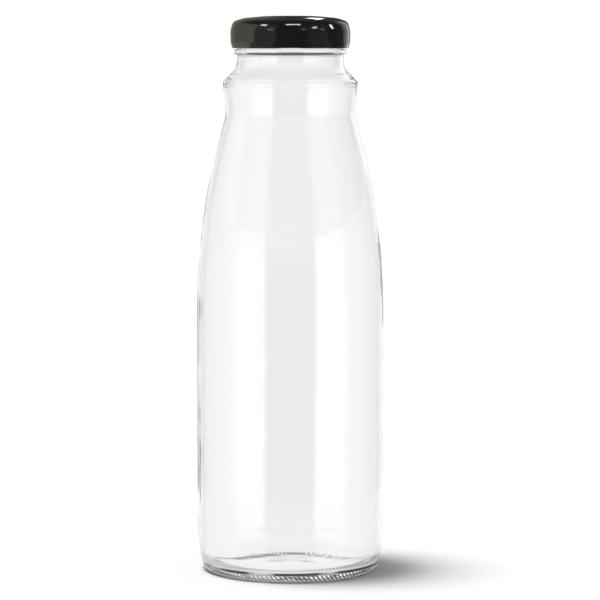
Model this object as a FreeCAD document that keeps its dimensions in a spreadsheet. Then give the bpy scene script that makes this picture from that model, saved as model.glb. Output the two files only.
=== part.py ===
import FreeCAD, Part
import math
import os

import Sketcher

# Glass milk bottle with a 43 mm twist-off cap.
# Millimetres; the bottle stands on z = 0 with its axis on the Z axis.
# Three pieces: the blown glass, the pressed tinplate cap and the sealing ring
# that is flowed into the cap.

os.makedirs("parts", exist_ok=True)
doc = FreeCAD.newDocument("milk_bottle")

# ---------------------------------------------------------------- sizes
# A corner is given by its radius from the axis (_rad), its height (_lvl) and
# the radius of the arc that rounds it (_arc).
SIZES = {
    # outside of the glass, from the foot upwards
    "push_up": 3.2,
    "foot_in_rad": 26.4,
    "foot_in_arc": 1.2,
    "foot_out_rad": 32.9,
    "foot_out_arc": 2.2,
    "heel_low_rad": 34.76,
    "heel_low_lvl": 6.9,
    "heel_low_arc": 60.0,
    "heel_top_lvl": 15.3,
    "heel_top_arc": 28.5,
    "body_rad": 35.5,
    "body_top_lvl": 115.9,
    "body_top_arc": 265.0,
    "shoulder_rad": 30.9,
    "shoulder_lvl": 149.1,
    "shoulder_arc": 175.0,
    "waist_rad": 24.39,
    "waist_lvl": 172.7,
    "waist_arc": 12.6,
    "ridge_rad": 25.6,
    "ridge_lvl": 185.2,
    "ridge_arc": 2.0,
    "neck_low_lvl": 190.7,
    "neck_low_arc": 6.5,
    "neck_rad": 20.16,
    "neck_top_lvl": 195.3,
    "neck_top_arc": 0.3,
    "bead_rad": 21.2,
    "bead_low_lvl": 195.5,
    "bead_low_arc": 0.85,
    "bead_top_lvl": 197.45,
    "bead_top_arc": 0.8,
    "finish_rad": 19.6,
    "finish_foot_arc": 0.4,
    "land_lvl": 207.6,
    "land_arc": 1.1,
    # inside of the glass, from the floor upwards
    "floor_mid_lvl": 5.4,
    "floor_rad": 18.0,
    "floor_lvl": 3.6,
    "floor_arc": 60.0,
    "well_rad": 32.3,
    "well_lvl": 1.5,
    "well_arc": 6.0,
    "bore_low_lvl": 17.0,
    "bore_low_arc": 30.0,
    "bore_rad": 33.0,
    "bore_top_lvl": 115.4,
    "bore_top_arc": 262.0,
    "slope_rad": 28.5,
    "slope_lvl": 148.4,
    "slope_arc": 178.0,
    "throat_rad": 21.9,
    "throat_lvl": 172.9,
    "throat_arc": 15.0,
    "collar_rad": 22.97,
    "collar_lvl": 184.6,
    "collar_arc": 3.6,
    "mouth_low_lvl": 189.7,
    "mouth_low_arc": 9.2,
    "mouth_rad": 17.4,
    "lip_arc": 0.6,
    "lip_out_rad": 18.3,
    "lip_top_lvl": 208.6,
    # four threads on the finish
    "lead": 15.0,
    "thread_span": 72.0,
    "thread_start": -27.0,
    "thread_root_rad": 19.3,
    "thread_root_low": 198.1,
    "thread_root_top": 200.14,
    "thread_rad": 20.85,
    "thread_low": 198.72,
    "thread_top": 199.52,
    "thread_arc": 0.3,
    "thread_count": 4,
    # knurl on the bearing ring
    "knurl_rad": 29.2,
    "knurl_len": 2.0,
    "knurl_wide": 0.9,
    "knurl_deep": 0.25,
    "knurl_count": 60,
    # tinplate cap
    "sheet": 0.2,
    "crown_lvl": 210.0,
    "dome_rad": 10.0,
    "dome_lvl": 209.85,
    "dome_arc": 60.0,
    "panel_rad": 17.6,
    "panel_lvl": 209.1,
    "panel_arc": 8.0,
    "brow_rad": 21.7,
    "brow_lvl": 207.8,
    "brow_arc": 3.0,
    "skirt_rad": 22.73,
    "skirt_lvl": 204.3,
    "skirt_arc": 8.0,
    "tuck_rad": 22.56,
    "tuck_lvl": 199.9,
    "tuck_arc": 2.5,
    "curl_rad": 21.95,
    "curl_low_lvl": 197.7,
    "curl_low_arc": 0.5,
    "curl_in_rad": 21.12,
    "curl_in_arc": 0.35,
    "curl_top_lvl": 199.2,
    "curl_top_arc": 0.5,
    "curl_end_rad": 21.85,
    "lug_rad": 20.0,
    "lug_root_rad": 21.25,
    "lug_low_lvl": 197.95,
    "lug_top_lvl": 198.95,
    "lug_arc": 0.35,
    "lug_span": 21.0,
    # sealing ring
    "seal_in_rad": 15.7,
    "seal_arc": 0.3,
    "seal_top_in_rad": 15.9,
    "seal_top_in_lvl": 209.06,
    "seal_top_rad": 17.1,
    "seal_top_lvl": 208.93,
    "seal_out_rad": 20.5,
    "seal_out_lvl": 207.9,
}

sheet = doc.addObject("Spreadsheet::Sheet", "Sizes")
row = 1
for name in SIZES:
    sheet.set("A" + str(row), name)
    sheet.set("B" + str(row), str(SIZES[name]))
    sheet.setAlias("B" + str(row), name)
    row = row + 1
doc.recompute()


# ---------------------------------------------------------------- helpers
def value(term):
    """A size by name, or a plain number."""
    if isinstance(term, str):
        return SIZES[term]
    return float(term)


def origin_part(body, role):
    """One of the body's own planes or axes."""
    for item in body.Origin.OriginFeatures:
        if getattr(item, "Role", "") == role:
            return item
    raise ValueError("no origin part " + role)


def new_sketch(body, name, role):
    """An empty sketch on one of the body's own planes."""
    sketch = body.newObject("Sketcher::SketchObject", name)
    sketch.AttachmentSupport = [(origin_part(body, role), "")]
    sketch.MapMode = "FlatFace"
    return sketch


def bind(sketch, constraint, label, term):
    """Add a dimension and tie it to its cell."""
    index = sketch.addConstraint(constraint)
    if isinstance(term, str):
        sketch.renameConstraint(index, label)
        sketch.setExpression(".Constraints." + label, "Sizes." + term)


def place_point(sketch, geo, end, label, across, up):
    """Fix one point at a distance from the axis and a height above z = 0."""
    if value(across) == 0.0:
        sketch.addConstraint(Sketcher.Constraint("PointOnObject", geo, end, -2))
    else:
        rule = Sketcher.Constraint("DistanceX", -1, 1, geo, end, value(across))
        bind(sketch, rule, label + "_x", across)
    if value(up) == 0.0:
        sketch.addConstraint(Sketcher.Constraint("PointOnObject", geo, end, -1))
    else:
        rule = Sketcher.Constraint("DistanceY", -1, 1, geo, end, value(up))
        bind(sketch, rule, label + "_y", up)


def round_corners(spots, radii, closed):
    """Where each corner's arc begins and ends, with its centre and its turn."""
    count = len(spots)
    starts = list(spots)
    ends = list(spots)
    arcs = {}
    for i in range(count):
        if radii[i] is None:
            continue
        if not closed and i in (0, count - 1):
            continue
        here = spots[i]
        back = (spots[i - 1] - here).normalize()
        ahead = (spots[(i + 1) % count] - here).normalize()
        half = back.getAngle(ahead) / 2.0
        reach = radii[i] / math.tan(half)
        ends[i] = here + back * reach
        starts[i] = here + ahead * reach
        centre = here + (back + ahead).normalize() * (radii[i] / math.sin(half))
        arcs[i] = (centre, back.x * ahead.y - back.y * ahead.x)
    return starts, ends, arcs


def add_arc(sketch, before, after, radius, start, end, arc):
    """Join two lines by a tangent arc and return the arc."""
    centre, turn = arc
    first = start - centre
    last = end - centre
    if turn > 0:
        first, last = last, first
    low = math.atan2(first.y, first.x)
    high = math.atan2(last.y, last.x)
    if high < low:
        high = high + 2.0 * math.pi
    circle = Part.Circle(centre, FreeCAD.Vector(0, 0, 1), radius)
    joint = sketch.addGeometry(Part.ArcOfCircle(circle, low, high), False)
    entry = 2 if turn > 0 else 1
    sketch.addConstraint(Sketcher.Constraint("Tangent", before, 2, joint, entry))
    sketch.addConstraint(Sketcher.Constraint("Tangent", joint, 3 - entry, after, 1))
    return joint


def pin_corner(sketch, before, after, spot, corner):
    """Hold the sharp corner of two lines with a construction point."""
    point = sketch.addGeometry(Part.Point(spot), True)
    sketch.addConstraint(Sketcher.Constraint("PointOnObject", point, 1, before))
    sketch.addConstraint(Sketcher.Constraint("PointOnObject", point, 1, after))
    place_point(sketch, point, 1, corner[0], corner[1], corner[2])


def rounded_loop(sketch, corners):
    """Closed outline of straight lines; each corner is rounded by its own arc.

    A corner is (label, distance from the axis, height, arc radius or None).
    """
    count = len(corners)
    spots = [FreeCAD.Vector(value(c[1]), value(c[2]), 0) for c in corners]
    radii = [None if c[3] is None else value(c[3]) for c in corners]
    starts, ends, arcs = round_corners(spots, radii, True)
    lines = []
    for i in range(count):
        side = Part.LineSegment(starts[i], ends[(i + 1) % count])
        lines.append(sketch.addGeometry(side, False))
    for i in range(count):
        before = lines[i - 1]
        after = lines[i]
        if i in arcs:
            bow = add_arc(sketch, before, after, radii[i], ends[i], starts[i], arcs[i])
            rule = Sketcher.Constraint("Radius", bow, radii[i])
            bind(sketch, rule, corners[i][0] + "_bend", corners[i][3])
            pin_corner(sketch, before, after, spots[i], corners[i])
        else:
            sketch.addConstraint(Sketcher.Constraint("Coincident", before, 2, after, 1))
            place_point(sketch, after, 1, corners[i][0], corners[i][1], corners[i][2])
    doc.recompute()


def sheet_loop(sketch, corners, gauge):
    """Section of a bent sheet, from the axis out to its free edge.

    The corners give the outer face.  The inner face runs parallel to it on the
    right-hand side, one gauge away, with arcs about the same centres.
    """
    thick = value(gauge)
    last = len(corners) - 1
    spots = [FreeCAD.Vector(value(c[1]), value(c[2]), 0) for c in corners]
    radii = [None if c[3] is None else value(c[3]) for c in corners]
    starts, ends, arcs = round_corners(spots, radii, False)
    sides = []
    for i in range(last):
        way = (spots[i + 1] - spots[i]).normalize()
        sides.append(FreeCAD.Vector(way.y, -way.x, 0))
    inner = [spots[0] + FreeCAD.Vector(0, -thick / abs(sides[0].y), 0)]
    shrunk = [None]
    for i in range(1, last):
        both = sides[i - 1] + sides[i]
        share = 1.0 + sides[i - 1].dot(sides[i])
        inner.append(spots[i] + both * (thick / share))
        sign = -1.0 if arcs[i][1] > 0 else 1.0
        shrunk.append(radii[i] + sign * thick)
    inner.append(spots[last] + sides[last - 1] * thick)
    shrunk.append(None)
    inner_starts, inner_ends, inner_arcs = round_corners(inner, shrunk, False)
    outer_lines = []
    inner_lines = []
    for i in range(last):
        side = Part.LineSegment(starts[i], ends[i + 1])
        outer_lines.append(sketch.addGeometry(side, False))
    for i in range(last):
        side = Part.LineSegment(inner_starts[i], inner_ends[i + 1])
        inner_lines.append(sketch.addGeometry(side, False))
    for i in range(1, last):
        before = outer_lines[i - 1]
        after = outer_lines[i]
        bow = add_arc(sketch, before, after, radii[i], ends[i], starts[i], arcs[i])
        bind(sketch, Sketcher.Constraint("Radius", bow, radii[i]),
             corners[i][0] + "_bend", corners[i][3])
        pin_corner(sketch, before, after, spots[i], corners[i])
        before = inner_lines[i - 1]
        after = inner_lines[i]
        bow = add_arc(sketch, before, after, shrunk[i], inner_ends[i], inner_starts[i],
                      inner_arcs[i])
        sign = " - " if arcs[i][1] > 0 else " + "
        bind(sketch, Sketcher.Constraint("Radius", bow, shrunk[i]),
             corners[i][0] + "_inner", corners[i][3] + sign + "Sizes." + gauge)
    for i in range(last):
        outer = outer_lines[i]
        under = inner_lines[i]
        sketch.addConstraint(Sketcher.Constraint("Parallel", outer, under))
        bind(sketch, Sketcher.Constraint("Distance", under, 2, outer, thick),
             corners[i][0] + "_gauge", gauge)
    place_point(sketch, outer_lines[0], 1, "crown", corners[0][1], corners[0][2])
    sketch.addConstraint(Sketcher.Constraint("PointOnObject", inner_lines[0], 1, -2))
    axis_line = sketch.addGeometry(Part.LineSegment(inner[0], spots[0]), False)
    sketch.addConstraint(Sketcher.Constraint("Coincident", axis_line, 1, inner_lines[0], 1))
    sketch.addConstraint(Sketcher.Constraint("Coincident", axis_line, 2, outer_lines[0], 1))
    tail = outer_lines[last - 1]
    place_point(sketch, tail, 2, "edge", corners[last][1], corners[last][2])
    edge = sketch.addGeometry(Part.LineSegment(spots[last], inner[last]), False)
    sketch.addConstraint(Sketcher.Constraint("Coincident", edge, 1, tail, 2))
    sketch.addConstraint(Sketcher.Constraint("Coincident", edge, 2, inner_lines[last - 1], 2))
    sketch.addConstraint(Sketcher.Constraint("Perpendicular", edge, tail))
    doc.recompute()


def revolve(body, sketch, kind, name):
    """Turn a sketch once round the Z axis, adding or removing material."""
    turn = body.newObject(kind, name)
    turn.Profile = sketch
    turn.ReferenceAxis = (sketch, ["V_Axis"])
    turn.Angle = 360.0
    body.Tip = turn
    doc.recompute()


def ring_of(body, feature, name, count):
    """Repeat a feature evenly round the Z axis, as often as the named count."""
    pattern = body.newObject("PartDesign::PolarPattern", name)
    pattern.Originals = [feature]
    pattern.Axis = (origin_part(body, "Z_Axis"), [""])
    pattern.Angle = 360.0
    pattern.Occurrences = SIZES[count]
    pattern.setExpression("Occurrences", "Sizes." + count)
    body.Tip = pattern
    doc.recompute()


# ---------------------------------------------------------------- glass bottle
# Outside blank turned first, then the hollow, four threads and the knurled foot.
glass = doc.addObject("PartDesign::Body", "glass_bottle")
glass.Label = "glass_bottle"
outside = new_sketch(glass, "outside", "XZ_Plane")
rounded_loop(outside, [
    ("crown_of_foot", 0, "push_up", None),
    ("foot_in", "foot_in_rad", 0, "foot_in_arc"),
    ("foot_out", "foot_out_rad", 0, "foot_out_arc"),
    ("heel_low", "heel_low_rad", "heel_low_lvl", "heel_low_arc"),
    ("heel_top", "body_rad", "heel_top_lvl", "heel_top_arc"),
    ("body_top", "body_rad", "body_top_lvl", "body_top_arc"),
    ("shoulder", "shoulder_rad", "shoulder_lvl", "shoulder_arc"),
    ("waist", "waist_rad", "waist_lvl", "waist_arc"),
    ("ridge", "ridge_rad", "ridge_lvl", "ridge_arc"),
    ("neck_low", "neck_rad", "neck_low_lvl", "neck_low_arc"),
    ("neck_top", "neck_rad", "neck_top_lvl", "neck_top_arc"),
    ("bead_low", "bead_rad", "bead_low_lvl", "bead_low_arc"),
    ("bead_top", "bead_rad", "bead_top_lvl", "bead_top_arc"),
    ("finish_foot", "finish_rad", "bead_top_lvl", "finish_foot_arc"),
    ("land", "finish_rad", "land_lvl", "land_arc"),
    ("land_mid", 0, "land_lvl", None),
])
revolve(glass, outside, "PartDesign::Revolution", "blank")

inside = new_sketch(glass, "inside", "XZ_Plane")
rounded_loop(inside, [
    ("floor_mid", 0, "floor_mid_lvl", None),
    ("floor", "floor_rad", "floor_lvl", "floor_arc"),
    ("well", "well_rad", "well_lvl", "well_arc"),
    ("bore_low", "bore_rad", "bore_low_lvl", "bore_low_arc"),
    ("bore_top", "bore_rad", "bore_top_lvl", "bore_top_arc"),
    ("slope", "slope_rad", "slope_lvl", "slope_arc"),
    ("throat", "throat_rad", "throat_lvl", "throat_arc"),
    ("collar", "collar_rad", "collar_lvl", "collar_arc"),
    ("mouth_low", "mouth_rad", "mouth_low_lvl", "mouth_low_arc"),
    ("lip", "mouth_rad", "land_lvl", "lip_arc"),
    ("lip_out", "lip_out_rad", "land_lvl", None),
    ("lip_top", "lip_out_rad", "lip_top_lvl", None),
    ("lip_mid", 0, "lip_top_lvl", None),
])
revolve(glass, inside, "PartDesign::Groove", "hollow")

thread_section = new_sketch(glass, "thread_section", "XZ_Plane")
turned = FreeCAD.Rotation(FreeCAD.Vector(0, 1, 0), SIZES["thread_start"])
thread_section.AttachmentOffset = FreeCAD.Placement(FreeCAD.Vector(0, 0, 0), turned)
rounded_loop(thread_section, [
    ("root_low", "thread_root_rad", "thread_root_low", None),
    ("crest_low", "thread_rad", "thread_low", "thread_arc"),
    ("crest_top", "thread_rad", "thread_top", "thread_arc"),
    ("root_top", "thread_root_rad", "thread_root_top", None),
])
thread = glass.newObject("PartDesign::AdditiveHelix", "thread")
thread.Profile = thread_section
thread.ReferenceAxis = (thread_section, ["V_Axis"])
thread.Mode = 0
thread.Pitch = SIZES["lead"]
thread.Height = SIZES["lead"] * SIZES["thread_span"] / 360.0
thread.setExpression("Pitch", "Sizes.lead")
thread.setExpression("Height", "Sizes.lead * Sizes.thread_span / 360")
glass.Tip = thread
doc.recompute()
ring_of(glass, thread, "threads", "thread_count")

knurl_slot = new_sketch(glass, "knurl_slot", "XY_Plane")
half_long = SIZES["knurl_len"] / 2.0
half_wide = SIZES["knurl_wide"] / 2.0
near = SIZES["knurl_rad"] - half_long
far = SIZES["knurl_rad"] + half_long
corners = [(near, -half_wide), (far, -half_wide), (far, half_wide), (near, half_wide)]
for i in range(4):
    first = FreeCAD.Vector(corners[i][0], corners[i][1], 0)
    last = FreeCAD.Vector(corners[(i + 1) % 4][0], corners[(i + 1) % 4][1], 0)
    knurl_slot.addGeometry(Part.LineSegment(first, last), False)
for i in range(4):
    knurl_slot.addConstraint(Sketcher.Constraint("Coincident", i, 2, (i + 1) % 4, 1))
knurl_slot.addConstraint(Sketcher.Constraint("Horizontal", 0))
knurl_slot.addConstraint(Sketcher.Constraint("Horizontal", 2))
knurl_slot.addConstraint(Sketcher.Constraint("Vertical", 1))
knurl_slot.addConstraint(Sketcher.Constraint("Symmetric", 3, 1, 3, 2, -1))
bind(knurl_slot, Sketcher.Constraint("DistanceX", 0, 1, 0, 2, 2.0 * half_long),
     "long", "knurl_len")
bind(knurl_slot, Sketcher.Constraint("DistanceY", 1, 1, 1, 2, 2.0 * half_wide),
     "wide", "knurl_wide")
bind(knurl_slot, Sketcher.Constraint("DistanceX", -1, 1, 0, 1, near),
     "near", "knurl_rad - Sizes.knurl_len / 2")
doc.recompute()
knurl = glass.newObject("PartDesign::Pocket", "knurl")
knurl.Profile = knurl_slot
knurl.Length = SIZES["knurl_deep"]
knurl.setExpression("Length", "Sizes.knurl_deep")
knurl.Reversed = True
glass.Tip = knurl
doc.recompute()
ring_of(glass, knurl, "knurls", "knurl_count")

# ---------------------------------------------------------------- cap
# One tinplate pressing: low dome, sloped shoulder and nearly straight skirt,
# tucked in at the foot, then an inward curl that carries the four lugs.
cap = doc.addObject("PartDesign::Body", "cap_shell")
cap.Label = "cap_shell"
pressing = new_sketch(cap, "pressing", "XZ_Plane")
sheet_loop(pressing, [
    ("crown", 0, "crown_lvl", None),
    ("dome", "dome_rad", "dome_lvl", "dome_arc"),
    ("panel", "panel_rad", "panel_lvl", "panel_arc"),
    ("brow", "brow_rad", "brow_lvl", "brow_arc"),
    ("skirt", "skirt_rad", "skirt_lvl", "skirt_arc"),
    ("tuck", "tuck_rad", "tuck_lvl", "tuck_arc"),
    ("curl", "curl_rad", "curl_low_lvl", "curl_low_arc"),
    ("curl_in", "curl_in_rad", "curl_low_lvl", "curl_in_arc"),
    ("curl_top", "curl_in_rad", "curl_top_lvl", "curl_top_arc"),
    ("curl_end", "curl_end_rad", "curl_top_lvl", None),
], "sheet")
revolve(cap, pressing, "PartDesign::Revolution", "shell")

lug_section = new_sketch(cap, "lug_section", "XZ_Plane")
rounded_loop(lug_section, [
    ("lug_low", "lug_rad", "lug_low_lvl", "lug_arc"),
    ("root_low", "lug_root_rad", "lug_low_lvl", None),
    ("root_top", "lug_root_rad", "lug_top_lvl", None),
    ("lug_top", "lug_rad", "lug_top_lvl", "lug_arc"),
])
lug = cap.newObject("PartDesign::Revolution", "lug")
lug.Profile = lug_section
lug.ReferenceAxis = (lug_section, ["V_Axis"])
lug.Angle = SIZES["lug_span"]
lug.setExpression("Angle", "Sizes.lug_span")
lug.Midplane = True
cap.Tip = lug
doc.recompute()
ring_of(cap, lug, "lugs", "thread_count")

# ---------------------------------------------------------------- sealing ring
# Plastisol flowed into the cap; its flat underside sits on the glass land.
seal = doc.addObject("PartDesign::Body", "sealing_gasket")
seal.Label = "sealing_gasket"
seal_section = new_sketch(seal, "seal_section", "XZ_Plane")
rounded_loop(seal_section, [
    ("in_low", "seal_in_rad", "land_lvl", "seal_arc"),
    ("out_low", "seal_out_rad", "land_lvl", None),
    ("out_top", "seal_out_rad", "seal_out_lvl", None),
    ("top_out", "seal_top_rad", "seal_top_lvl", None),
    ("top_in", "seal_top_in_rad", "seal_top_in_lvl", None),
])
revolve(seal, seal_section, "PartDesign::Revolution", "seal_ring")

# ---------------------------------------------------------------- write files
doc.recompute()
for item in doc.Objects:
    if "Invalid" in item.State or "Error" in item.State:
        raise ValueError(item.Label + " did not recompute")
for body in (glass, cap, seal):
    shape = body.Shape
    if shape.isNull() or not shape.isValid() or len(shape.Solids) != 1:
        raise ValueError(body.Label + " is not one valid solid")
    shape.exportStep("parts/" + body.Label + ".step")
    box = shape.BoundBox
    print(body.Label, round(shape.Volume, 1), round(box.XLength, 2), round(box.ZMin, 2),
          round(box.ZMax, 2))
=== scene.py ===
import bpy
import numpy as np
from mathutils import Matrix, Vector


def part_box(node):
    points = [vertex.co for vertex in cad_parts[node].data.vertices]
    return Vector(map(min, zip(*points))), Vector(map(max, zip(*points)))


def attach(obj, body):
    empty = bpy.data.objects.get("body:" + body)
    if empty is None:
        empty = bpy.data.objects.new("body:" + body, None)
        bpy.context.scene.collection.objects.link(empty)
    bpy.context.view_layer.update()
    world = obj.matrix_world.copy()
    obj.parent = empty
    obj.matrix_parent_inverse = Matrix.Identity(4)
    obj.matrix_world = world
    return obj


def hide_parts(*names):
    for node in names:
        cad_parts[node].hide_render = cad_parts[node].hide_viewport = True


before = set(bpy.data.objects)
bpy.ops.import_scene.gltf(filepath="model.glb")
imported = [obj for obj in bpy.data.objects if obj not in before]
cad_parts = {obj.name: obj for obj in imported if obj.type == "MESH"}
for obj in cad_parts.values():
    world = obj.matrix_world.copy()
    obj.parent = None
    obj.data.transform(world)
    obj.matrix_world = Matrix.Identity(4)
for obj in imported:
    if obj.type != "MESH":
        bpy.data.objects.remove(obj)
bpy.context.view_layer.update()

# ------------------------------------------------------------------ glass bottle
# One piece of clear soda-lime glass, blown in a two-part mould. It stands on a
# knurled ring round its pushed-up base; the finish under the cap carries four
# raised threads, and the inside is a little uneven, as blown glass is.

MM = 0.001
glass_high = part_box("glass_bottle")[1]
body_rad = glass_high[0] / MM
land_lvl = glass_high[2] / MM

# Corners of the section: distance from the axis, height, arc that rounds it (mm).
glass_corners = [
    (0.0, 3.2, 0.0),
    (26.4, 0.0, 1.2),
    (32.9, 0.0, 2.2),
    (34.76, 6.9, 60.0),
    (body_rad, 15.3, 28.5),
    (body_rad, 115.9, 265.0),
    (30.9, 149.1, 175.0),
    (24.39, 172.7, 12.6),
    (25.6, 185.2, 2.0),
    (20.16, 190.7, 6.5),
    (20.16, 195.3, 0.3),
    (21.2, 195.5, 0.85),
    (21.2, 197.45, 0.8),
    (19.6, 197.45, 0.4),
    (19.6, land_lvl, 1.1),
    (17.4, land_lvl, 0.6),
    (17.4, 189.7, 9.2),
    (22.97, 184.6, 3.6),
    (21.9, 172.9, 15.0),
    (28.5, 148.4, 178.0),
    (33.0, 115.4, 262.0),
    (33.0, 17.0, 30.0),
    (32.3, 1.5, 6.0),
    (18.0, 3.6, 60.0),
    (0.0, 5.4, 0.0),
]


def rounded_outline(corners, fine=0.02):
    """Straight lines from corner to corner, each corner cut off by a tangent arc.

    The arc's ends lie radius / tan(half the corner's angle) from the corner, and
    its points come from turning the radius in even steps between them. The whole
    line is then read off again with a point every fine mm.
    """
    spots = np.array(corners, float)[:, :2]
    radii = np.array(corners, float)[:, 2]
    path = [spots[:1]]
    for before, here, after, radius in zip(spots, spots[1:], spots[2:], radii[1:]):
        back = (before - here) / np.linalg.norm(before - here)
        ahead = (after - here) / np.linalg.norm(after - here)
        half = np.arccos(np.clip(back @ ahead, -1, 1)) / 2
        bisector = (back + ahead) / np.linalg.norm(back + ahead)
        centre = here + bisector * radius / np.sin(half)
        first = here + back * radius / np.tan(half) - centre
        last = here + ahead * radius / np.tan(half) - centre
        turn = np.arctan2(first[0] * last[1] - first[1] * last[0], first @ last)
        count = max(6, int(abs(turn) * radius / fine))
        angle = np.linspace(0, turn, count)[:, None]
        across = np.array([-first[1], first[0]])
        path.append(centre + first * np.cos(angle) + across * np.sin(angle))
    path.append(spots[-1:])
    path = np.concatenate(path)
    steps = np.linalg.norm(np.diff(path, axis=0), axis=1)
    run = np.concatenate([[0], np.cumsum(steps)])
    even = np.arange(0, run[-1], fine)
    return np.stack([np.interp(even, run, path[:, 0]), np.interp(even, run, path[:, 1])], 1)


def spaced(path, step, turn_step):
    """Fewer points on the path, closer where it bends.

    The measure of the way is length / step + turn / turn_step, and the points lie
    about 1 apart in it, evenly. step may be one value or a value per point.
    """
    way = np.diff(path, axis=0)
    length = np.linalg.norm(way, axis=1)
    heading = np.unwrap(np.arctan2(way[:, 1], way[:, 0]))
    turn = np.abs(np.diff(heading, prepend=heading[0]))
    step = np.broadcast_to(step, len(path))[:-1]
    measure = np.concatenate([[0], np.cumsum(length / step + turn / turn_step)])
    count = int(np.ceil(measure[-1]))
    even = np.linspace(0, measure[-1], count + 1)
    return np.stack([np.interp(even, measure, path[:, 0]), np.interp(even, measure, path[:, 1])], 1)


def outward(path):
    """Unit normals of a path, on its right-hand side as it is travelled."""
    way = np.gradient(path, axis=0)
    way /= np.linalg.norm(way, axis=1)[:, None]
    return np.stack([way[:, 1], -way[:, 0]], 1)


def smooth(low, high, value):
    """0 below low, 1 above high and an S-shaped rise, 3t^2 - 2t^3, between."""
    t = np.clip((value - low) / (high - low), 0, 1)
    return t * t * (3 - 2 * t)


def turned_band(path, segments, relief):
    """A path carried round the Z axis, pushed along its normal by relief(angle, r, z)."""
    angle = np.arange(segments) * 2 * np.pi / segments
    r, a = np.meshgrid(path[:, 0], angle, indexing="ij")
    z, _ = np.meshgrid(path[:, 1], angle, indexing="ij")
    normal = outward(path)
    push = relief(a, r, z)
    r = r + push * normal[:, :1]
    z = z + push * normal[:, 1:]
    return np.stack([r * np.cos(a), r * np.sin(a), z], -1) * MM


def band_faces(start, rows, segments):
    """Quads of one band, each row joined to the next and closed on itself."""
    i, j = np.meshgrid(np.arange(rows - 1), np.arange(segments), indexing="ij")
    k = (j + 1) % segments
    low = start + i * segments
    high = low + segments
    return np.stack([low + j, low + k, high + k, high + j], -1).reshape(-1, 4)


def joined_mesh(name, bands, poles=None):
    """One mesh from bands of rings, closed at its two poles or else on itself.

    Where the next band has three times the segments, or a third of them, each
    coarse edge is joined to three fine ones by a six-sided face.
    """
    points = [band.reshape(-1, 3) for band in bands]
    faces = []
    start = 0
    before = None
    for band in bands:
        rows, segments = band.shape[:2]
        j = np.arange(segments)
        k = (j + 1) % segments
        if before is not None:
            base, count = before
            c = np.arange(count)
            d = (c + 1) % count
            if count == segments:
                edge = [base + c, base + d, start + k, start + j]
            elif count < segments:
                edge = [base + c, base + d] + [start + (3 * c + s) % segments for s in (3, 2, 1, 0)]
            else:
                edge = [base + (3 * j + s) % count for s in (0, 1, 2, 3)] + [start + k, start + j]
            faces += np.stack(edge, 1).tolist()
        faces += band_faces(start, rows, segments).tolist()
        before = (start + (rows - 1) * segments, segments)
        start += rows * segments
    last, count = before
    c = np.arange(count)
    d = (c + 1) % count
    if poles is None:
        faces += np.stack([last + c, last + d, d, c], 1).tolist()
    else:
        first = np.arange(bands[0].shape[1])
        faces += np.stack([first * 0 + start, (first + 1) % len(first), first], 1).tolist()
        faces += np.stack([last + c, last + d, c * 0 + start + 1], 1).tolist()
        points.append(np.array([[0, 0, poles[0]], [0, 0, poles[1]]]) * MM)
    mesh = bpy.data.meshes.new(name)
    mesh.from_pydata(np.concatenate(points).tolist(), [], faces)
    mesh.polygons.foreach_set("use_smooth", np.ones(len(mesh.polygons), bool))
    mesh.update()
    return mesh


def new_piece(name, mesh, material):
    """An object of this mesh and material, placed at the origin."""
    piece = bpy.data.objects.new(name, mesh)
    bpy.context.scene.collection.objects.link(piece)
    mesh.materials.append(material)
    return piece


# Threads, knurl strands, plate groove, collar ridge and mould seam, in mm and radians.
thread_lead = 15.0
thread_deep = 1.24
thread_first = np.radians(-27.0)
thread_span = np.radians(72.0)
thread_lvl = 199.12
strand_count = 120
strand_lean = 2.4
strand_deep = 0.28
groove_lvl = 3.0
ridge_lvl = 185.0
ring_count = 240
seam_at = 5 * 2 * np.pi / ring_count


def bell(value, wide):
    """1 where the value is 0, falling to exp(-1) where it is one width away."""
    return np.exp(-((value / wide) ** 2))


def outside_relief(angle, r, z):
    """Everything that stands on or cuts into the plain outside.

    Knurl: leaning strands, a cosine of (count x angle + lean x (r + z)), on the
    underside of the foot. Bottom plate line: a shallow groove above. Threads: a ridge
    whose height falls off on both sides of a line that climbs one lead a turn.
    Ridge of the collar: chipped by a product of three cosines of the angle.
    Mould seam: two narrow bells of the angle, half a turn apart.
    """
    strand = 0.5 + 0.5 * np.cos(strand_count * angle + strand_lean * (r + z))
    knurled = smooth(27.2, 28.2, r) * smooth(0.7, 0.2, z)
    push = -strand_deep * knurled * np.clip(1 - strand, 0, 1) ** 1.5
    push -= 0.12 * bell(z - groove_lvl, 0.28) * (r > 30)
    past = (angle - thread_first) % (np.pi / 2)
    offset = z - (thread_lvl + thread_lead * past / (2 * np.pi))
    ends = smooth(0, 0.12, past) * smooth(thread_span, thread_span - 0.12, past)
    on_finish = (z > 197.6) * (z < 206)
    push += thread_deep * smooth(0.95, 0.35, np.abs(offset)) * ends * on_finish
    chips = np.cos(7 * angle + 1) * np.cos(16 * angle + 0.4) * np.cos(37 * angle)
    push -= 0.1 * np.clip(chips, 0, 1) * bell(z - ridge_lvl, 0.5)
    seam = bell(np.sin(angle - seam_at), 0.02)
    push += 0.03 * (seam - 1) * smooth(4.5, 6.0, z) * smooth(190.0, 187.0, z)
    return push


def inside_relief(angle, r, z):
    """Slow waves of the blown inside, cosines of the angle and the height."""
    uneven = 0.09 * np.cos(angle - 0.7) + 0.045 * np.cos(2 * angle + z / 31)
    uneven += 0.02 * np.sin(3 * angle - z / 17) + 0.012 * np.cos(5 * angle + z / 11)
    return uneven * smooth(206.0, 190.0, z) * smooth(0.0, 12.0, r)


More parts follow.
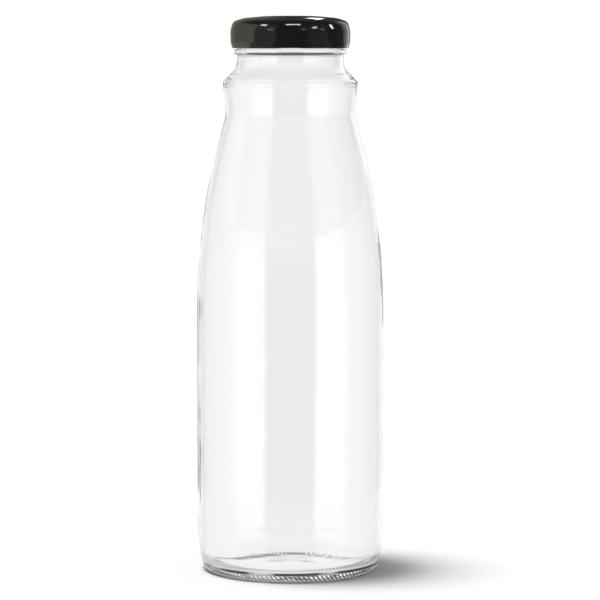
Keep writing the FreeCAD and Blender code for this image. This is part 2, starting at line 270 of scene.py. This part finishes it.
# Close points where the threads and the chipped ridge need them, wide ones elsewhere.
outline = rounded_outline(glass_corners)
radius, height = outline.T
step = np.full(len(outline), 3.2)
step[(height > 197.6) & (height < 206) & (radius > 18.5)] = 0.26
step[(height > 183.8) & (height < 186.4) & (radius > 24.5)] = 0.3
knurl_start = np.argmax(radius > 26.9)
wall_start = np.argmax((radius > 30) & (height > 1.2))
hollow_start = np.argmax((height > 207) & (radius < 18.5))
step[hollow_start:][height[hollow_start:] < 14] = 1.4
foot_path = spaced(outline[:knurl_start + 1], 3.2, 0.11)[1:]
knurl_path = spaced(outline[knurl_start:wall_start + 1], 0.33, 0.2)[1:]
wall = slice(wall_start, hollow_start + 1)
wall_path = spaced(outline[wall], step[wall], 0.12)[1:]
hollow_path = spaced(outline[hollow_start:], step[hollow_start:], 0.12)[1:-1]
glass_mesh = joined_mesh("glass_bottle", [
    turned_band(foot_path, ring_count, outside_relief),
    turned_band(knurl_path, ring_count * 3, outside_relief),
    turned_band(wall_path, ring_count, outside_relief),
    turned_band(hollow_path, ring_count, inside_relief),
], (outline[0, 1], outline[-1, 1]))


class Tone:
    """One shader socket. + - * / with it or with plain numbers add Math nodes."""

    def __init__(self, tree, socket=None):
        self.tree = tree
        self.socket = socket

    def node(self, kind, settings, inputs, output=0):
        """A new node: its settings first, then its sockets' values or links."""
        made = self.tree.nodes.new(kind)
        for name, setting in settings.items():
            if name == "stops":
                ramp = made.color_ramp
                while len(ramp.elements) < len(setting):
                    ramp.elements.new(0.5)
                for element, (place, tint) in zip(ramp.elements, setting):
                    element.position = place
                    element.color = tint if isinstance(tint, tuple) else (tint, tint, tint, 1)
            else:
                setattr(made, name, setting)
        for name, given in inputs.items():
            if isinstance(given, Tone):
                self.tree.links.new(given.socket, made.inputs[name])
            else:
                made.inputs[name].default_value = given
        return Tone(self.tree, made.outputs[output])

    def part(self, name):
        """Another output of the node this socket belongs to."""
        return Tone(self.tree, self.socket.node.outputs[name])

    def math(self, operation, first, second=0.0):
        settings = {"operation": operation}
        return self.node("ShaderNodeMath", settings, {0: first, 1: second})

    def __add__(self, other):
        return self.math("ADD", self, other)

    def __radd__(self, other):
        return self.math("ADD", other, self)

    def __sub__(self, other):
        return self.math("SUBTRACT", self, other)

    def __rsub__(self, other):
        return self.math("SUBTRACT", other, self)

    def __mul__(self, other):
        return self.math("MULTIPLY", self, other)

    def __rmul__(self, other):
        return self.math("MULTIPLY", other, self)

    def __truediv__(self, other):
        return self.math("DIVIDE", self, other)

    def between(self, low, high):
        """0 to 1 as the value goes from low to high, with soft ends."""
        settings = {"interpolation_type": "SMOOTHSTEP"}
        return self.node("ShaderNodeMapRange", settings, {
            "Value": self, "From Min": low, "From Max": high, "To Min": 0.0, "To Max": 1.0})

    def mix(self, first, second):
        """Colour first where this value is 0, second where it is 1."""
        settings = {"data_type": "RGBA"}
        return self.node("ShaderNodeMix", settings, {0: self, 6: first, 7: second}, 2)


def new_material(name):
    """An empty material, its Principled shader and a Tone to start from."""
    material = bpy.data.materials.new(name)
    material.use_nodes = True
    tree = material.node_tree
    tree.nodes.clear()
    shader = tree.nodes.new("ShaderNodeBsdfPrincipled")
    output = tree.nodes.new("ShaderNodeOutputMaterial")
    tree.links.new(shader.outputs[0], output.inputs["Surface"])
    return material, shader, Tone(tree)


def connect(tone, shader, name):
    """Let a tone drive one of the shader's sockets."""
    tone.tree.links.new(tone.socket, shader.inputs[name])


clear_glass, shader, start = new_material("clear_glass")
shader.inputs["Transmission Weight"].default_value = 1.0
shader.inputs["IOR"].default_value = 1.52
place = start.node("ShaderNodeTexCoord", {}, {}, "Object")
axes = start.node("ShaderNodeSeparateXYZ", {}, {"Vector": place}, "X")
level = axes.part("Z")
off_axis = start.math("SQRT", axes * axes + axes.part("Y") * axes.part("Y"))
stretched = start.node("ShaderNodeMapping", {}, {"Vector": place, "Scale": (18, 18, 900)})
streaks = start.node("ShaderNodeTexNoise", {}, {"Vector": stretched, "Scale": 1.0, "Detail": 2.0})
waves = start.node("ShaderNodeTexNoise", {}, {"Vector": place, "Scale": 55.0, "Detail": 1.0})
mark_pitch = 0.93 * MM
turning_marks = start.math("SINE", level * (2 * np.pi / mark_pitch) + 9.0 * waves)
on_heel = level.between(0.007, 0.011) * (1.0 - level.between(0.015, 0.026))
relief = streaks * 0.005 + waves * 0.2 + 0.0015 * on_heel * streaks * turning_marks
bump = start.node("ShaderNodeBump", {}, {
    "Height": relief, "Strength": 1.0, "Distance": 0.001}, "Normal")
connect(bump, shader, "Normal")
smudges = start.node("ShaderNodeTexNoise", {}, {"Vector": place, "Scale": 90.0, "Detail": 4.0})

# On the heel the strands have no depth: they are drawn as dark lines of painted shade, and a
# near-black line of painted shade lies in the groove above them. Both are on the half towards -Y, the
# camera's side, only.
heel = off_axis.between(0.0312, 0.0322)
round_axis = start.math("ARCTAN2", axes.part("Y"), axes)
strands = start.math("COSINE", round_axis * strand_count + (off_axis + level) * (strand_lean / MM))
grooves = (0.0 - strands).between(-0.1, 0.35)
camera_half = (0.0 - axes.part("Y") / off_axis).between(-0.25, 0.35)
# Painted shade: the knurl band darkened, most of all in the strand grooves, on the camera's half.
knurl_painted_shade = heel * camera_half * (1.0 - level.between(0.0023, 0.0028)) * (0.06 + 0.94 * grooves)
# Painted shade: a near-black line along the plate groove, broken up by noise, on the camera's half.
groove_painted_shade = heel * camera_half * level.between(0.0026, 0.0028) * (1.0 - level.between(0.0036, 0.0038))
groove_painted_shade = groove_painted_shade * waves.between(0.25, 0.45)
# The glass's own faint tint, with the knurl's painted shade mixed in; the groove's painted shade goes
# over it.
tint = knurl_painted_shade.mix((0.945, 0.942, 0.955, 1), (0.012, 0.011, 0.018, 1))
connect(groove_painted_shade.mix(tint, (0.004, 0.004, 0.006, 1)), shader, "Base Color")
connect(smudges.between(0.55, 0.8) * 0.03, shader, "Roughness")

bottle = new_piece("glass_bottle_blown", glass_mesh, clear_glass)
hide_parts("glass_bottle")
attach(bottle, "bottle")

# ------------------------------------------------------------------ twist-off cap
# Tinplate 0.2 mm thick, stamped to a shallow dish with a low dome, lacquered
# gloss black outside and pale inside. The rim is curled inwards, and four lugs are
# pressed from the curl to run under the threads.

cap_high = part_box("cap_shell")[1]
crown_lvl = cap_high[2] / MM
gauge = 0.2
cap_corners = [
    (0.0, crown_lvl, 0.0),
    (10.0, 209.85, 60.0),
    (17.6, 209.1, 8.0),
    (21.7, 207.8, 3.0),
    (22.73, 204.3, 8.0),
    (22.56, 199.9, 2.5),
    (21.95, 197.7, 0.5),
    (21.12, 197.7, 0.35),
    (21.12, 199.2, 0.5),
    (21.85, 199.2, 0.0),
]
cap_ring = 360
lug_count = 4
lug_half = np.radians(10.5)
lug_rad = 20.0
curl_rad = 21.12

outer_skin = rounded_outline(cap_corners)
cap_step = np.where(outer_skin[:, 1] < 200, 0.22, 0.9)
outer_skin = spaced(outer_skin, cap_step, 0.11)
inner_skin = outer_skin + gauge * outward(outer_skin)
inner_skin[0, 0] = 0.0
cap_path = np.concatenate([inner_skin[1:], outer_skin[:0:-1]])


def cap_relief(angle, r, z):
    """The dents of handling: two slow cosines of the angle, gone at the crown."""
    return 0.012 * (np.cos(3 * angle + 0.5) + np.cos(5 * angle + 2)) * smooth(4.0, 18.0, r)


def bend_lugs(points):
    """Draw the curl inwards and flatten it at four places, an even turn apart.

    The pull is a smooth plateau of the angle from each lug's middle, times a
    share that grows from the skirt to the curl's inner face.
    """
    x, y, z = np.moveaxis(points / MM, -1, 0)
    angle = np.arctan2(y, x)
    r = np.hypot(x, y)
    off = np.abs((angle + np.pi / lug_count) % (2 * np.pi / lug_count) - np.pi / lug_count)
    lug = smooth(lug_half * 1.12, lug_half * 0.86, off)
    share = smooth(22.1, 21.2, r) * smooth(200.2, 199.4, z)
    middle = 198.45
    pulled = r - (curl_rad - lug_rad) * share * lug
    flat = z + (middle - z) * 0.32 * share * lug
    scale = pulled / np.maximum(r, 1e-9)
    return np.stack([x * scale, y * scale, flat], -1) * MM


cap_band = bend_lugs(turned_band(cap_path, cap_ring, cap_relief))
cap_mesh = joined_mesh("cap", [cap_band], (crown_lvl - gauge, crown_lvl))

# The attribute "inside" is 1 on the inner skin and its pole, 0 on the outer skin.
inside = np.zeros(len(cap_mesh.vertices), np.float32)
inside[:(len(inner_skin) - 1) * cap_ring] = 1.0
inside[-2] = 1.0
layer = cap_mesh.attributes.new("inside", "FLOAT", "POINT")
layer.data.foreach_set("value", inside)

lacquer, shader, start = new_material("black_lacquer")
place = start.node("ShaderNodeTexCoord", {}, {}, "Object")
side = start.node("ShaderNodeAttribute", {"attribute_name": "inside"}, {}, "Fac")
cloud = start.node("ShaderNodeTexNoise", {}, {"Vector": place, "Scale": 260.0, "Detail": 3.0})
black = cloud.between(0.3, 0.7).mix((0.0055, 0.0055, 0.0052, 1), (0.0085, 0.0082, 0.0074, 1))
pale = cloud.between(0.3, 0.7).mix((0.60, 0.58, 0.50, 1), (0.68, 0.66, 0.58, 1))
connect(side.mix(black, pale), shader, "Base Color")
dust = start.node("ShaderNodeTexNoise", {}, {"Vector": place, "Scale": 1900.0, "Detail": 2.0})
connect(0.055 + 0.09 * cloud.between(0.45, 0.8) + 0.12 * dust.between(0.68, 0.75), shader, "Roughness")
peel = start.node("ShaderNodeTexNoise", {}, {"Vector": place, "Scale": 700.0, "Detail": 1.0})
bump = start.node("ShaderNodeBump", {}, {
    "Height": peel, "Strength": 0.12, "Distance": 0.0001}, "Normal")
connect(bump, shader, "Normal")
shader.inputs["IOR"].default_value = 1.42

cap = new_piece("twist_off_cap", cap_mesh, lacquer)
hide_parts("cap_shell")
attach(cap, "cap")

# ------------------------------------------------------------------ sealing ring
# Soft grey-white plastisol, poured into the cap as a liquid and baked there. It
# fills the corner under the panel, and its flat face lies on the glass mouth.

seal_corners = [
    (18.0, 207.6, 0.0),
    (20.5, 207.6, 0.12),
    (20.5, 207.9, 0.12),
    (17.1, 208.93, 0.3),
    (15.9, 209.06, 0.25),
    (15.7, 207.6, 0.3),
    (18.0, 207.6, 0.0),
]


def seal_relief(angle, r, z):
    """A ripple of the poured inner edge, from two cosines of the angle."""
    free = smooth(16.3, 15.8, r)
    return -0.02 * free * (1 + np.cos(9 * angle) * np.cos(4 * angle + 1))


seal_path = spaced(rounded_outline(seal_corners), 0.4, 0.25)[:-1]
seal_band = turned_band(seal_path, ring_count, seal_relief)
seal_mesh = joined_mesh("seal", [seal_band])

plastisol, shader, start = new_material("plastisol")
place = start.node("ShaderNodeTexCoord", {}, {}, "Object")
mottle = start.node("ShaderNodeTexNoise", {}, {"Vector": place, "Scale": 420.0, "Detail": 4.0})
connect(mottle.between(0.3, 0.7).mix((0.60, 0.60, 0.57, 1), (0.70, 0.70, 0.67, 1)), shader, "Base Color")
connect(0.38 + 0.2 * mottle, shader, "Roughness")
bump = start.node("ShaderNodeBump", {}, {
    "Height": mottle, "Strength": 0.3, "Distance": 0.0001}, "Normal")
connect(bump, shader, "Normal")

seal = new_piece("sealing_ring", seal_mesh, plastisol)
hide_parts("sealing_gasket")
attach(seal, "seal")

# ------------------------------------------------------------------ studio
# A white table top and white surroundings with a dim part behind the camera, a
# soft sun nearly overhead, and a card and small lamps that only the cap mirrors.

camera_data = bpy.data.cameras.new("camera")
camera_data.lens = 174.66
camera_data.sensor_width = 36.0
camera_data.clip_start = 0.01
camera = bpy.data.objects.new("camera", camera_data)
bpy.context.scene.collection.objects.link(camera)
camera.location = (0.00365, -1.1, 0.2)
camera.rotation_euler = (np.radians(90 - 5.06), 0, 0)
bpy.context.scene.camera = camera
bpy.context.scene.view_settings.view_transform = "Standard"

# Light crosses and mirrors in the thick glass of the base many times.
bounces = 32
bpy.context.scene.cycles.transmission_bounces = bounces
bpy.context.scene.cycles.glossy_bounces = bounces
bpy.context.scene.cycles.max_bounces = bounces


def only_mirrored(thing):
    """Hide a studio object from all but the glossy surfaces."""
    thing.visible_camera = False
    thing.visible_diffuse = False
    thing.visible_transmission = False
    thing.visible_shadow = False


def bearing_of(axes):
    """The way round the Z axis: 0.25 towards -X, 0.5 towards -Y, 0.75 towards +X."""
    return axes.math("ARCTAN2", axes, 0 - axes.part("Y")) / (2 * np.pi) + 0.5


edge_count = 96
edge = np.arange(edge_count) * 2 * np.pi / edge_count
circle = np.stack([np.cos(edge), np.sin(edge), edge * 0], 1)
table_mesh = bpy.data.meshes.new("table_top")
table_rad = 0.22
table_mesh.from_pydata((circle * table_rad).tolist(), [], [tuple(range(edge_count))])
table_paint, shader, start = new_material("table_paint")
shader.inputs["Base Color"].default_value = (0.9, 0.9, 0.9, 1)
shader.inputs["Roughness"].default_value = 0.9
shader.inputs["Specular IOR Level"].default_value = 0.0
table_top = new_piece("table_top", table_mesh, table_paint)
table_top.visible_transmission = False

card_mesh = bpy.data.meshes.new("card")
card_rings = [circle * r + [0, 0, z] for r, z in (
    (0.028, 0.186), (0.3, 0.172), (0.3, 0.38), (0.26, 0.45), (0.01, 0.5))]
card_faces = band_faces(0, len(card_rings), edge_count)
card_mesh.from_pydata(np.concatenate(card_rings).tolist(), [], card_faces.tolist())
card_paint, shader, start = new_material("card_paint")
place = start.node("ShaderNodeTexCoord", {}, {}, "Object")
card_axes = start.node("ShaderNodeSeparateXYZ", {}, {"Vector": place}, "X")
card_bearing = bearing_of(card_axes)
panels = start.node("ShaderNodeValToRGB", {"stops": [
    (0.0, 0.03), (0.003, 0.04), (0.012, (0.2, 0.2, 0.16, 1)), (0.16, (0.6, 0.6, 0.5, 1)),
    (0.28, (1.5, 1.5, 1.3, 1)), (0.296, (1.5, 1.5, 1.3, 1)), (0.31, 0.5), (0.415, 0.6),
    (0.435, 0.15), (0.585, 0.15), (0.605, 0.35), (0.70, 0.35), (0.715, 0.12), (0.82, 0.12),
    (0.84, (0.7, 0.66, 0.8, 1)), (0.885, (1.1, 1.05, 1.2, 1)), (0.903, 1.4), (0.908, 3.0),
    (0.914, 0.8), (0.93, 0.1), (1.0, 0.03),
]}, {"Fac": card_bearing})
card_lvl = card_axes.part("Z")
behind = start.math("ABSOLUTE", card_bearing - 0.5).between(0.42, 0.45)
behind = behind * (1 - card_lvl.between(0.225, 0.24))
panels = behind.mix(panels, (0.8, 0.8, 0.78, 1))
lid = card_lvl.between(0.36, 0.44)
connect(lid.mix(panels, (0.12, 0.12, 0.12, 1)), shader, "Emission Color")
shader.inputs["Emission Strength"].default_value = 1.0
shader.inputs["Base Color"].default_value = (0, 0, 0, 1)
card = new_piece("card", card_mesh, card_paint)
only_mirrored(card)

world = bpy.data.worlds.new("studio")
bpy.context.scene.world = world
world.use_nodes = True
world.node_tree.nodes.clear()
sky = Tone(world.node_tree)
toward = sky.node("ShaderNodeTexCoord", {}, {}, "Generated")
sky_axes = sky.node("ShaderNodeSeparateXYZ", {}, {"Vector": toward}, "X")
rise = sky_axes.part("Z")
around = sky.node("ShaderNodeValToRGB", {"stops": [
    (0.0, 0.98), (0.05, 0.95), (0.11, 0.75), (0.25, 1.15), (0.31, 1.6), (0.40, 1.6),
    (0.415, 0.4), (0.585, 0.4), (0.60, 1.7), (0.695, 1.7), (0.72, 1.0), (0.80, 0.85), (0.88, 0.75),
    (0.95, 0.95), (1.0, 0.98)]}, {"Fac": bearing_of(sky_axes)})
overhead = rise.between(0.45, 0.8)
studio = overhead.mix(around, (0.5, 0.5, 0.5, 1))
below = (0 - rise).between(0.19, 0.26)
studio = below.mix(studio, (0.97, 0.97, 0.97, 1))
underneath = (0 - rise).between(0.5, 0.85)
studio = underneath.mix(studio, (0.75, 0.75, 0.76, 1))
# What the camera sees directly is white; what lights matt surfaces is dimmer.
ray = sky.node("ShaderNodeLightPath", {}, {}, "Is Camera Ray")
soft = ray.part("Diffuse Depth").between(0.0, 1.0)
seen = ray.mix(studio, (1.0, 1.0, 1.0, 1))
final = soft.mix(seen, (0.36, 0.36, 0.36, 1))
background = sky.node("ShaderNodeBackground", {}, {"Color": final, "Strength": 1.05})
world_out = world.node_tree.nodes.new("ShaderNodeOutputWorld")
world.node_tree.links.new(background.socket, world_out.inputs["Surface"])


def new_lamp(name, kind, way):
    """A lamp of this kind that shines along way."""
    lamp = bpy.data.objects.new(name, bpy.data.lights.new(name, kind))
    bpy.context.scene.collection.objects.link(lamp)
    lamp.rotation_euler = Vector(way).to_track_quat("-Z", "Y").to_euler()
    lamp.visible_camera = False
    return lamp


key = new_lamp("key", "SUN", (0.18, -0.03, -0.98))
key.data.energy = 2.5
key.data.angle = np.radians(16)
key.visible_glossy = False
key.visible_transmission = False

lacquered = bpy.data.collections.new("lacquered")
lacquered.objects.link(cap)
lamp_reach = 0.27


def mirrored_lamp(name, turn, tilt, size, glow, from_axis=0.0225, lvl=0.206):
    """A lamp seen mirrored where the cap's surface faces turn and tilt (degrees).

    The normal n there and the way to the camera c give the mirrored way,
    2 (n . c) n - c. The power that gives the lamp this glow is glow x pi x area.
    """
    a, t = np.radians([turn, tilt])
    normal = np.array([np.sin(a) * np.cos(t), -np.cos(a) * np.cos(t), np.sin(t)])
    spot = np.array([np.sin(a) * from_axis, -np.cos(a) * from_axis, lvl])
    to_camera = np.array(camera.location) - spot
    to_camera /= np.linalg.norm(to_camera)
    way = 2 * (normal @ to_camera) * normal - to_camera
    lamp = new_lamp(name, "AREA", -way)
    lamp.data.shape = "RECTANGLE"
    lamp.data.size, lamp.data.size_y = size
    lamp.data.energy = glow * np.pi * size[0] * size[1]
    lamp.location = spot + lamp_reach * way
    lamp.light_linking.receiver_collection = lacquered
    only_mirrored(lamp)


mirrored_lamp("row_1", -26, 20, (0.055, 0.05), 20.0)
mirrored_lamp("row_2", -19, 10, (0.06, 0.03), 3.0)
mirrored_lamp("row_3", 3, 22, (0.12, 0.06), 22.0)
mirrored_lamp("row_4", 13, 10, (0.04, 0.03), 3.0)
mirrored_lamp("row_5", 24, 14, (0.045, 0.025), 14.0)
mirrored_lamp("row_6", 32, 10, (0.03, 0.03), 3.0)
mirrored_lamp("row_7", 43, 17, (0.03, 0.07), 20.0)
mirrored_lamp("back", 30, 74, (0.016, 0.03), 12.0, 0.0182, 0.209)
